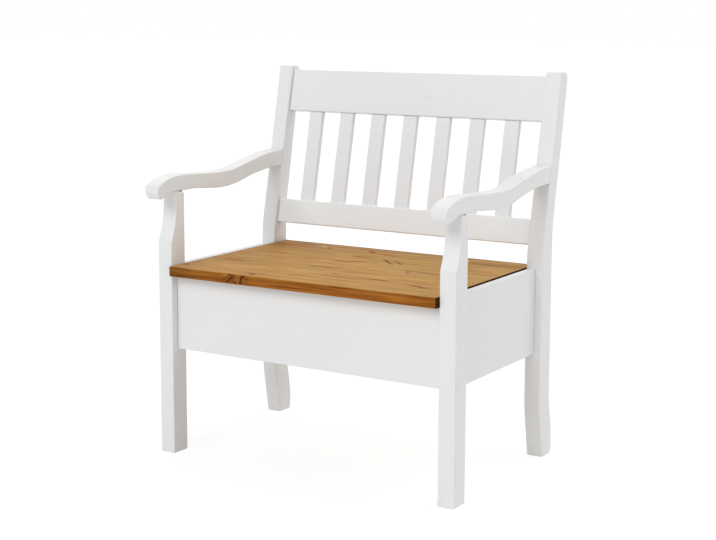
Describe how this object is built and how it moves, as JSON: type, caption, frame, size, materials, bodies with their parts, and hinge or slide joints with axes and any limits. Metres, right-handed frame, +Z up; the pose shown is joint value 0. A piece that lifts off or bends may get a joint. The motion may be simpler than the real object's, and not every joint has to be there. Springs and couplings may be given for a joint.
{
  "type": "bench with armrests",
  "caption": "Wooden bench with a leaning slatted back, S-shaped armrests with rolled noses, kicked-back rear feet and a storage box under a hinged lid seat.",
  "frame": {"origin": "on the floor, in the middle of the bench's overall width and overall depth", "axes": "+Z up, +X to the bench's right seen from the front, the bench faces -Y"},
  "size_m": [0.8, 0.5972, 0.915],
  "materials": {
    "painted_pine": "pine painted white, satin, with the grain faintly showing",
    "stained_pine": "pine stained honey brown and lacquered satin, grain along the bench",
    "bare_pine": "planed pine, untreated",
    "plywood": "thin plywood, untreated",
    "beech": "beech dowels, untreated",
    "brass": "brass-plated, satin",
    "zinc": "zinc-plated steel"
  },
  "bodies": {
    "bench_frame": {"front_leg_left": "painted_pine", "front_leg_right": "painted_pine", "rear_post_left": "painted_pine", "rear_post_right": "painted_pine", "armrest_left": "painted_pine", "armrest_right": "painted_pine", "crest_rail": "painted_pine", "lower_back_rail": "painted_pine", "back_slat_1": "painted_pine", "back_slat_2": "painted_pine", "back_slat_3": "painted_pine", "back_slat_4": "painted_pine", "back_slat_5": "painted_pine", "back_slat_6": "painted_pine", "back_slat_7": "painted_pine", "front_panel": "painted_pine", "back_panel": "painted_pine", "side_panel_left": "painted_pine", "side_panel_right": "painted_pine", "box_floor": "plywood", "floor_cleat_front": "bare_pine", "floor_cleat_back": "bare_pine", "floor_cleat_left": "bare_pine", "floor_cleat_right": "bare_pine", "lid_rest_left": "bare_pine", "lid_rest_right": "bare_pine", "seat_strip": "stained_pine", "hinge_fixed_leaf_left": "brass", "hinge_fixed_leaf_right": "brass", "hinge_pin_left": "brass", "hinge_pin_right": "brass", "panel_dowels": "beech", "strip_dowels": "beech", "rail_dowels": "beech", "armrest_dowels": "beech", "cleat_screws": "zinc", "floor_screws": "zinc", "hinge_screws_strip": "zinc"},
    "seat_lid": {"lid": "stained_pine", "lid_batten_left": "bare_pine", "lid_batten_right": "bare_pine", "hinge_lid_leaf_left": "brass", "hinge_lid_leaf_right": "brass", "batten_screws": "zinc", "hinge_screws_lid": "zinc"}
  },
  "joints": [
    {"name": "lid_hinge", "type": "hinge", "parent": "bench_frame", "child": "seat_lid", "pos_m": [0, 0.16837, 0.461], "axis": [-1, 0, 0], "range_deg": [0, 103]}
  ]
}
